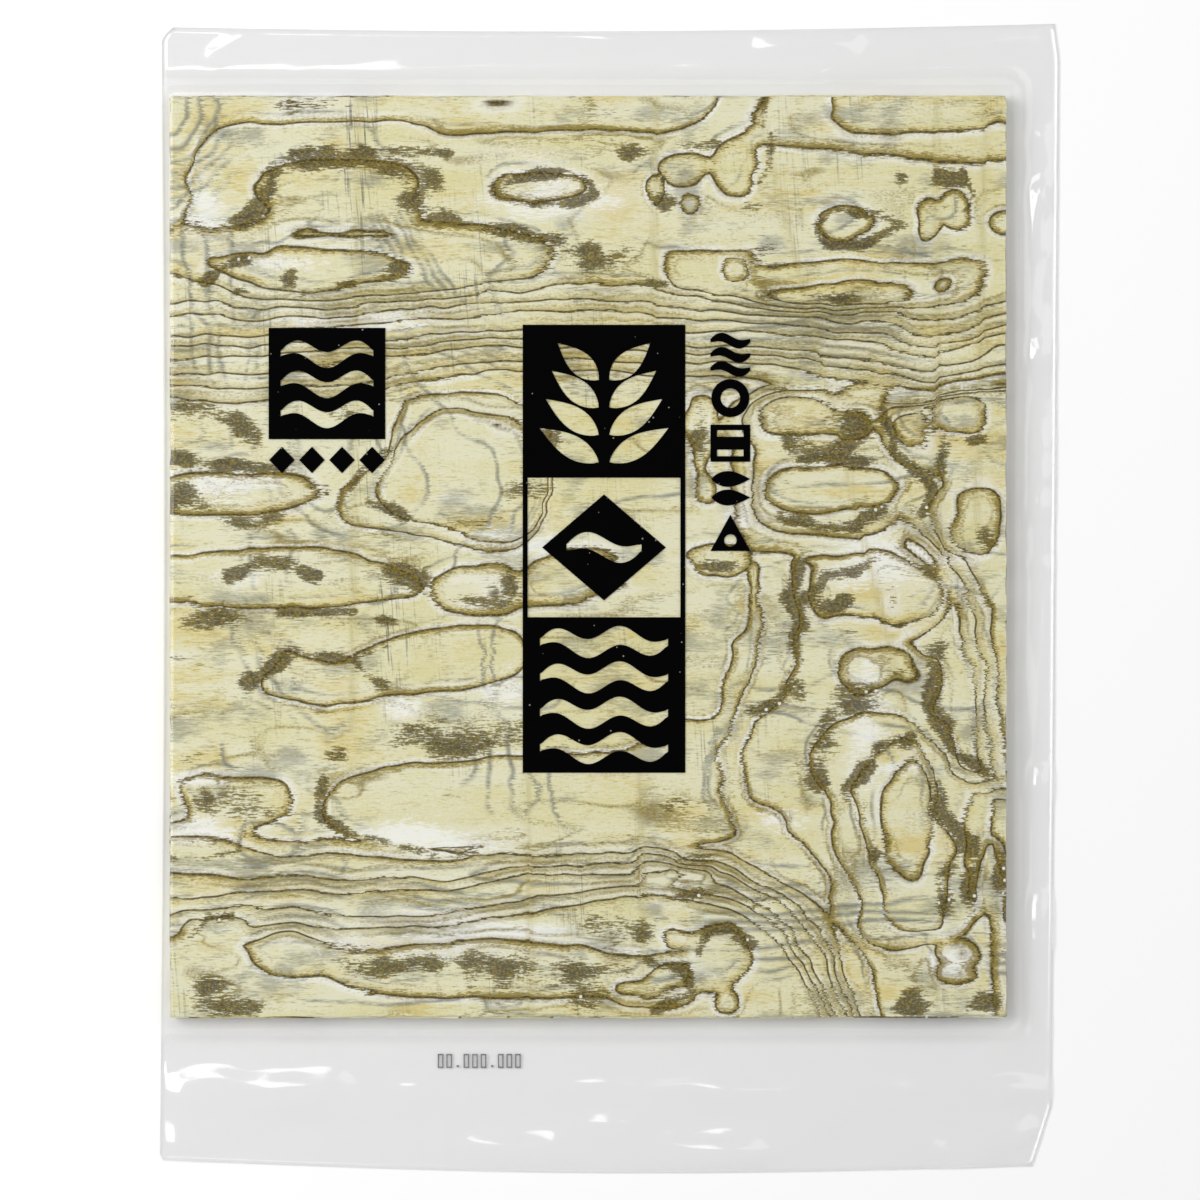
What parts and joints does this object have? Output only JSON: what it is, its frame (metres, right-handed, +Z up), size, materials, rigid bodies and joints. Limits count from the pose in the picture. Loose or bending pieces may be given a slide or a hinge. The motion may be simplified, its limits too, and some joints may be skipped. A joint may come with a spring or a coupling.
{
  "type": "bag of dried kelp sheets",
  "caption": "Flat clear film bag holding a squared stack of thin pressed kelp sheets, with black printed panels on its front; it lies on its back.",
  "frame": {"origin": "middle of the bag's outline, on the flat back of the bag, which is what it rests on", "axes": "+Z up, out of the printed front; +Y towards the top of the print; +X to the right of the print"},
  "size_m": [0.2044, 0.2611, 0.0049],
  "materials": {
    "kelp": "thin pressed kelp shavings, cream with olive brown skin lines, seen through clear film",
    "film": "clear glossy film, thickness not visible, taken as 0.05 mm",
    "ink": "black printing ink on film"
  },
  "bodies": {
    "root": {"sealed_bag": "kelp"}
  },
  "joints": []
}
